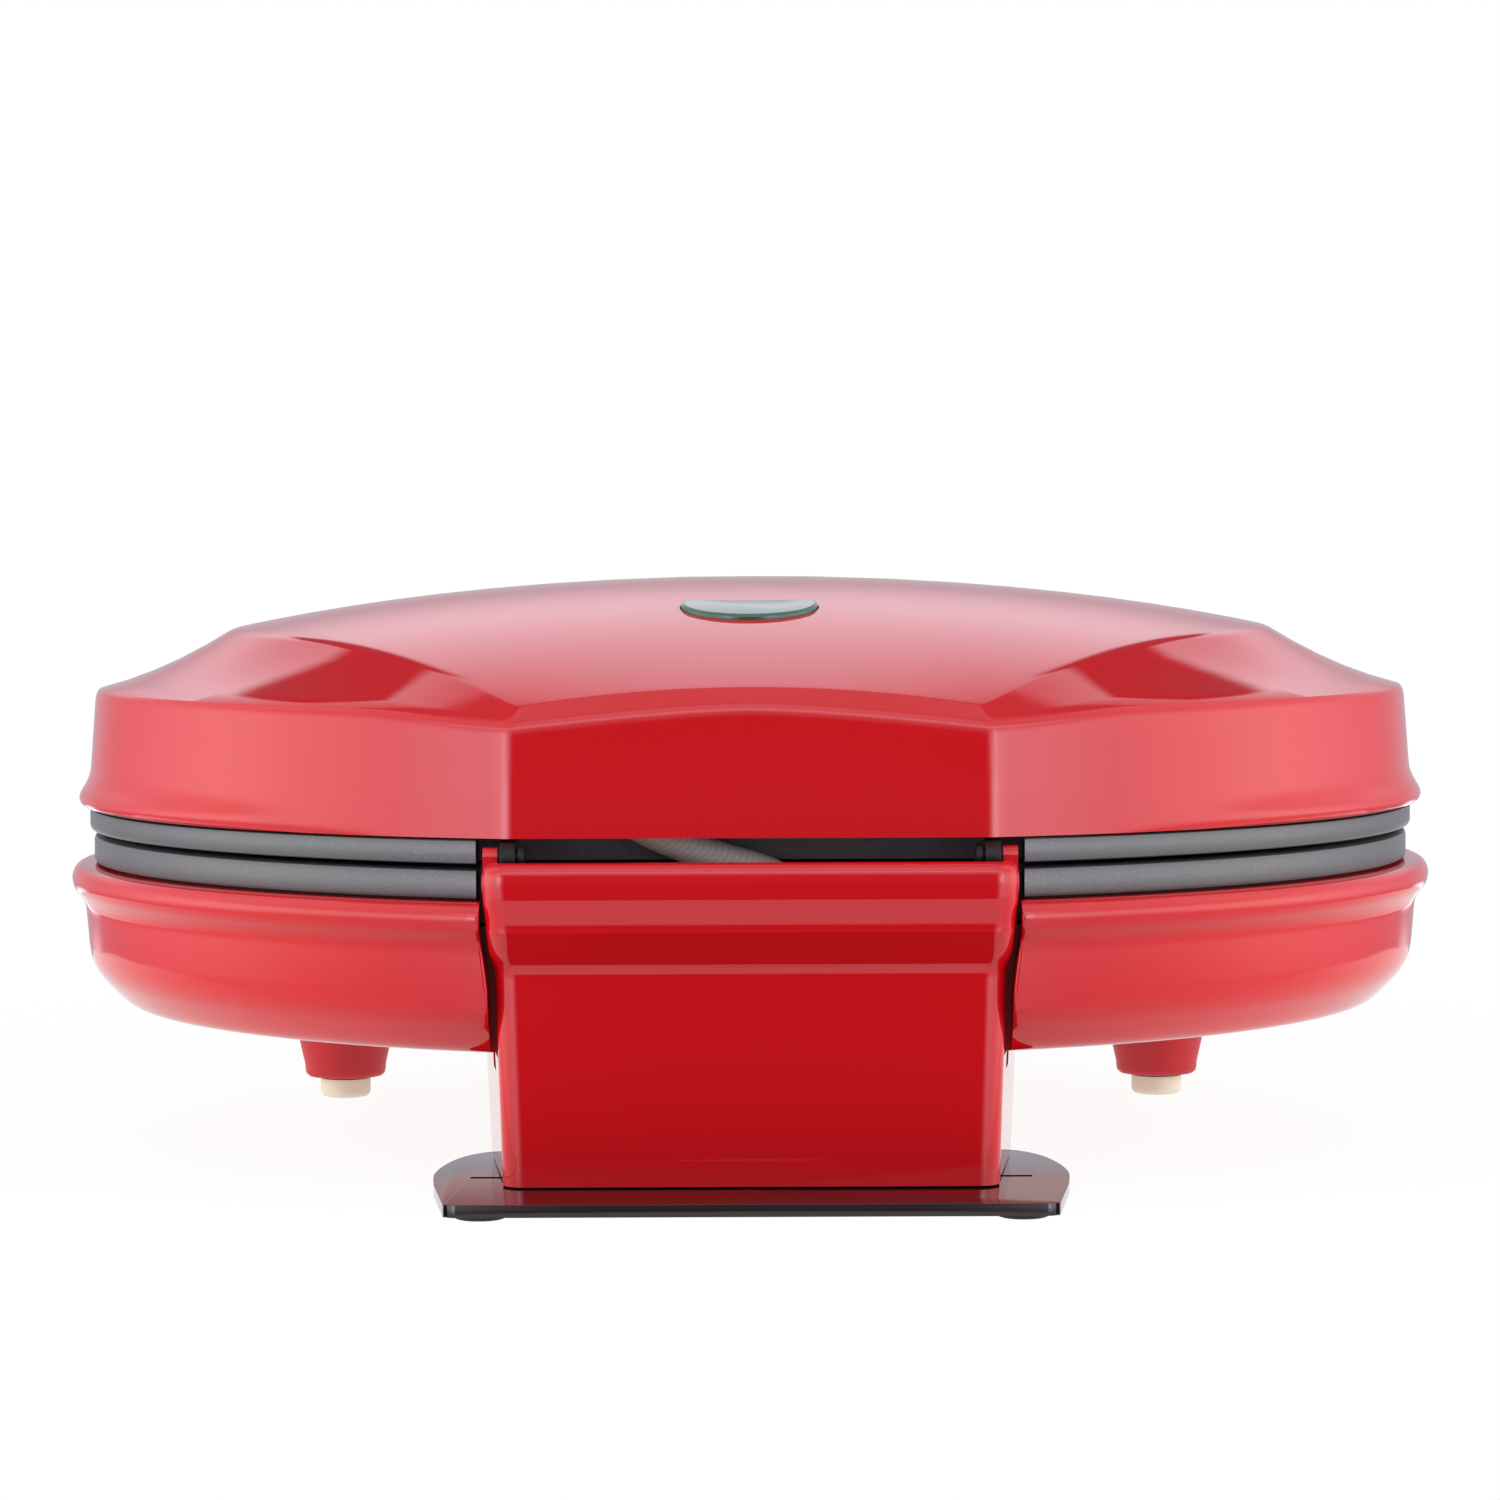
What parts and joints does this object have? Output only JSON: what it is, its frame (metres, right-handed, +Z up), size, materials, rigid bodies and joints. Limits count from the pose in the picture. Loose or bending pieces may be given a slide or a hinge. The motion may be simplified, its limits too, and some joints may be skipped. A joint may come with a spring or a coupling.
{
  "type": "sandwich and waffle maker",
  "caption": "Round red countertop sandwich and waffle maker with a faceted domed lid hinged on a rear stand with a cord-wrap foot plate.",
  "frame": {"origin": "middle of the footprint, on the table, straight below the middle of the box", "axes": "+Z up, +Y from the handle towards the hinge and stand, +X across"},
  "size_m": [0.2306, 0.2554, 0.0946],
  "materials": {
    "gloss_red": "high gloss moulded plastic",
    "gloss_black": "gloss black plate",
    "black_moulding": "satin black moulding",
    "non_stick": "cast aluminium with grey non-stick coat",
    "bright_aluminium": "rolled sheet",
    "steel": "zinc plated",
    "cream_rubber": "matt",
    "dark_rubber": "matt",
    "green_lens": "clear green window",
    "white_nylon": "matt",
    "lamp_glass": "clear",
    "fibre_sleeve": "braided glass fibre"
  },
  "bodies": {
    "base": {"base_shell": "gloss_red", "rear_stand": "gloss_red", "foot_plate": "gloss_black", "lower_plate": "non_stick", "lower_heater": "steel", "lower_reflector": "bright_aluminium", "thermostat": "steel", "thermal_fuse": "white_nylon", "terminal_block": "white_nylon", "cord_gland": "black_moulding", "lower_handle": "black_moulding", "wiring_sleeve": "fibre_sleeve", "rear_foot_left": "dark_rubber", "rear_foot_right": "dark_rubber", "front_foot_left": "cream_rubber", "front_foot_right": "cream_rubber", "hinge_pin_left": "steel", "hinge_pin_right": "steel", "lower_handle_screw_left": "steel", "lower_handle_screw_right": "steel", "stand_screw_left": "steel", "stand_screw_right": "steel", "foot_plate_screw_left": "steel", "foot_plate_screw_right": "steel", "lower_plate_screw_1": "steel", "lower_plate_screw_2": "steel", "lower_plate_screw_3": "steel"},
    "lid": {"lid_shell": "gloss_red", "upper_plate": "non_stick", "upper_heater": "steel", "upper_reflector": "bright_aluminium", "indicator_lens": "green_lens", "indicator_lamp": "lamp_glass", "lamp_holder": "white_nylon", "upper_handle": "black_moulding", "latch_pin": "steel", "hinge_bracket_left": "black_moulding", "hinge_bracket_right": "black_moulding", "bracket_screw_left": "steel", "bracket_screw_right": "steel", "upper_handle_screw_left": "steel", "upper_handle_screw_right": "steel", "upper_plate_screw_1": "steel", "upper_plate_screw_2": "steel", "upper_plate_screw_3": "steel"},
    "latch": {"latch_clip": "black_moulding"}
  },
  "joints": [
    {"name": "lid_hinge", "type": "hinge", "parent": "base", "child": "lid", "pos_m": [0, 0.11207, 0.0538], "axis": [-1, 0, 0], "range_deg": [0, 95], "deforming": ["wiring_sleeve"]},
    {"name": "latch_pivot", "type": "hinge", "parent": "lid", "child": "latch", "pos_m": [0, -0.12397, 0.0665], "axis": [-1, 0, 0], "range_deg": [0, 75]}
  ]
}
